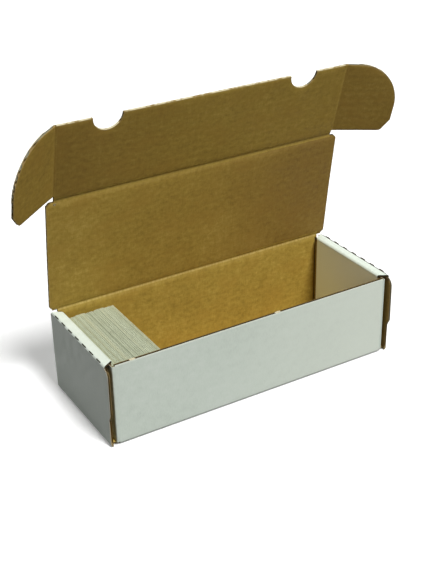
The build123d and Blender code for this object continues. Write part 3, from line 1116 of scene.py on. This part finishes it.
FULL_LANE = (0.14, 0.86)
WHITE_LANE = (0.02, 0.20)
flap = panels["front_flap"]
notch_in = NOTCH_OFFSET - NOTCH_RADIUS
notch_out = NOTCH_OFFSET + NOTCH_RADIUS
for k, (start, end) in enumerate(((-FLAP_HALF, -notch_out), (-notch_in, notch_in),
                                  (notch_out, FLAP_HALF))):
    path = straight((start, FLAP_DEPTH), (end, FLAP_DEPTH), (0, 1))
    frayed_edge(f"flap_frayed_edge_{k + 1}", flap, path, FULL_LANE, 0.32 * MM,
                70 + k)
for k, (word, side, notch_end, ear_end) in enumerate((("left", -1, -42, 180),
                                                      ("right", 1, -64, 0))):
    path = arc((side * NOTCH_OFFSET, FLAP_DEPTH), NOTCH_RADIUS, -140, notch_end, -1)
    frayed_edge(f"notch_frayed_edge_{k + 1}", flap, path, FULL_LANE, 0.28 * MM,
                80 + k)
    centre = (side * (EAR_REACH - EAR_ARC), FLAP_DEPTH - EAR_ARC)
    frayed_edge(f"ear_frayed_edge_{k + 1}", panels[f"{word}_ear"],
                arc(centre, EAR_ARC, 90, ear_end, 1), WHITE_LANE, 0.35 * MM, 95 + k)


# Heights between and on the cuts, and the ridge's angles round the fold, left and right
TORN_RIDGES = ((0.0, 0.9 * MM, (60, 52, 47, 50)), (0.36 * MM, 1.2 * MM, (54, 45, 40, 44)))
CUT_SHARE = 0.58
FOLD_INSIDE, FOLD_OUTSIDE = 1.4 * MM, 1.9 * MM


def torn_cuts(name, side, seed):
    """The paper that stands up beside the cuts of a strip's perforated outer crease."""
    draw = random.Random(seed)
    count = int((BACK_Y - STRIP_INSET) / CUT_LENGTH)
    columns = 18
    low, rise, angles = TORN_RIDGES[side > 0]
    points, faces = [], []
    for i in range(count):
        middle = (i - (count - 1) / 2) * 2 * CUT_LENGTH
        faces += tube_faces(len(points), columns + 1, len(angles))
        for j in range(columns + 1):
            t = (2 * j / columns - 1) * (CUT_SHARE if side < 0 else 1.0)
            y = middle + t * CUT_LENGTH
            tall = math.sqrt(max(0.0, 1 - (t / CUT_SHARE) ** 4)) * draw.uniform(0.75, 1.0)
            crest = FOLD_OUTSIDE + max(rise * tall, low)
            for radius, degrees in zip((FOLD_INSIDE, crest, crest, FOLD_INSIDE), angles):
                turn = math.radians(degrees)
                x = END_X - STRIP_BOARD + radius * math.cos(turn)
                points.append((side * x, y, STRIP_Z + radius * math.sin(turn)))
    # The cuts take the near-black core: painted shade in the slots.
    riding(name, closed_mesh(name, points, faces), SHADED_CORE, 40, "box")


torn_cuts("left_torn_cuts", -1, 101)
torn_cuts("right_torn_cuts", 1, 102)

edge_y = FRONT_Y + BOARD / 2
for k, x in enumerate((-110 * MM, 20 * MM)):
    nick(f"front_wall_nick_{k + 1}", Vector((x, edge_y, FRONT_TOP)), 5 * MM, k + 1)
    tuft(f"front_wall_nick_fibres_{k + 1}", "box",
         Vector((x, edge_y + 0.3 * MM, FRONT_TOP)), X_AXIS * 4.5 * MM, Z_AXIS, 1.0 * MM, 60,
         40 + k)

for k, side in enumerate((-1, 1)):
    tuft(f"bottom_corner_fibres_{k + 1}", "box",
         Vector((side * (WALL_X - 0.2 * MM), FRONT_Y + 1.2 * MM, 2.2 * MM)), X_AXIS * 1.6 * MM,
         Vector((side * 0.3, -0.6, -0.2)), 1.1 * MM, 50, 45 + k)
for k, side in enumerate((-1, 1)):
    bottom = CREASE + flap_along * (FLAP_DEPTH - NOTCH_RADIUS) + X_AXIS * (side * NOTCH_OFFSET)
    tuft(f"notch_fibres_{k + 1}", "flap", bottom, X_AXIS * 7 * MM, flap_along,
         1.0 * MM, 50, 50 + k)

left_corner = CREASE - X_AXIS * (EAR_X - 2 * MM) + lid_in * (BOARD / 2)
tuft("torn_crease_fibres", "lid", left_corner - lid_along * 3.4 * MM,
     X_AXIS * 2.2 * MM, (lid_in - X_AXIS * 0.3), 0.8 * MM, 60, 61)


# Floor, light and camera

FLOOR_HALF = 6.0
FLOOR_DROP = 0.3 * MM
FLOOR_GLOW = 0.22
FLOOR_BOUNCE = (0.08, 0.08, 0.08, 1)
AMBIENT_COLOUR = (1.0, 0.965, 0.91, 1)
AMBIENT_STRENGTH = 0.085
WHITE_LIGHT = (1, 1, 1, 1)


def stage_node(tree, kind, sources=(), **values):
    """A node with its first inputs linked to the sources and named ones set."""
    node = tree.nodes.new(kind)
    for name, value in values.items():
        node.inputs[name].default_value = value
    for source, socket in zip(sources, node.inputs):
        tree.links.new(source, socket)
    return node.outputs[0] if node.outputs else None


def plain_rays(tree):
    """1 for rays that show the background: straight, mirrored or through glass."""
    path = tree.nodes.new("ShaderNodeLightPath")
    total = path.outputs["Is Camera Ray"]
    for name in ("Is Glossy Ray", "Is Transmission Ray"):
        node = tree.nodes.new("ShaderNodeMath")
        node.operation = "MAXIMUM"
        tree.links.new(total, node.inputs[0])
        tree.links.new(path.outputs[name], node.inputs[1])
        total = node.outputs[0]
    return total


def show(tree, kind, lit, seen):
    """Plain rays see the one, and the light that reaches the box comes from the other."""
    mix = stage_node(tree, "ShaderNodeMixShader", (plain_rays(tree), lit, seen))
    stage_node(tree, kind, (mix,))


def floor():
    """A white floor that keeps the box's shadow and throws hardly any light back."""
    s, z = FLOOR_HALF, -FLOOR_DROP
    mesh = bpy.data.meshes.new("floor")
    mesh.from_pydata([(-s, -s, z), (s, -s, z), (s, s, z), (-s, s, z)], [], [(0, 1, 2, 3)])
    piece = add_object("floor", mesh)
    material = bpy.data.materials.new("pale_floor")
    material.use_nodes = True
    tree = material.node_tree
    tree.nodes.clear()
    matt = stage_node(tree, "ShaderNodeBsdfDiffuse", Color=WHITE_LIGHT)
    glow = stage_node(tree, "ShaderNodeEmission", Strength=FLOOR_GLOW)
    seen = stage_node(tree, "ShaderNodeAddShader", (matt, glow))
    lit = stage_node(tree, "ShaderNodeBsdfDiffuse", Color=FLOOR_BOUNCE)
    show(tree, "ShaderNodeOutputMaterial", lit, seen)
    mesh.materials.append(material)


def world():
    """A white background and a weak, slightly warm light from all round."""
    sky = bpy.data.worlds.new("studio")
    bpy.context.scene.world = sky
    sky.use_nodes = True
    tree = sky.node_tree
    tree.nodes.clear()
    lit = stage_node(tree, "ShaderNodeBackground", Color=AMBIENT_COLOUR,
                     Strength=AMBIENT_STRENGTH)
    seen = stage_node(tree, "ShaderNodeBackground", Color=WHITE_LIGHT, Strength=1.0)
    show(tree, "ShaderNodeOutputWorld", lit, seen)


def lamp(name, towards, strength, spread):
    """A far, soft lamp. towards points at it, and spread is how wide it looks."""
    data = bpy.data.lights.new(name, "SUN")
    data.energy = strength
    data.angle = math.radians(spread)
    turn = Vector(towards).to_track_quat("Z", "Y")
    add_object(name, data).rotation_euler = turn.to_euler()


# The camera fitted to the photograph's corners
PHOTO_WIDTH = 422
FOCAL_PIXELS = 1095.42
SENSOR = 36
EYE = (-0.40536, -0.67719, 0.50221)
EYE_FORWARD = (0.44196, 0.76164, -0.4739)
EYE_RIGHT = (0.85895, -0.51162, -0.02121)


def camera():
    data = bpy.data.cameras.new("camera")
    data.sensor_fit = "HORIZONTAL"
    data.sensor_width = SENSOR
    data.lens = SENSOR * FOCAL_PIXELS / PHOTO_WIDTH
    data.clip_start = 0.01
    eye = add_object("camera", data)
    forward = Vector(EYE_FORWARD).normalized()
    right = Vector(EYE_RIGHT).normalized()
    up = right.cross(forward).normalized()
    turn = Matrix((right, up, -forward)).transposed()
    eye.matrix_world = Matrix.Translation(EYE) @ turn.to_4x4()
    bpy.context.scene.camera = eye


floor()
world()
lamp("key_light", (0.20, -1.0, 1.75), 3.15, 16)
lamp("fill_light", (-1.0, -0.2, 0.5), 0.38, 50)
lamp("back_light", (0.35, 1.0, 0.20), 1.3, 40)
camera()
bpy.context.scene.view_settings.view_transform = "Standard"
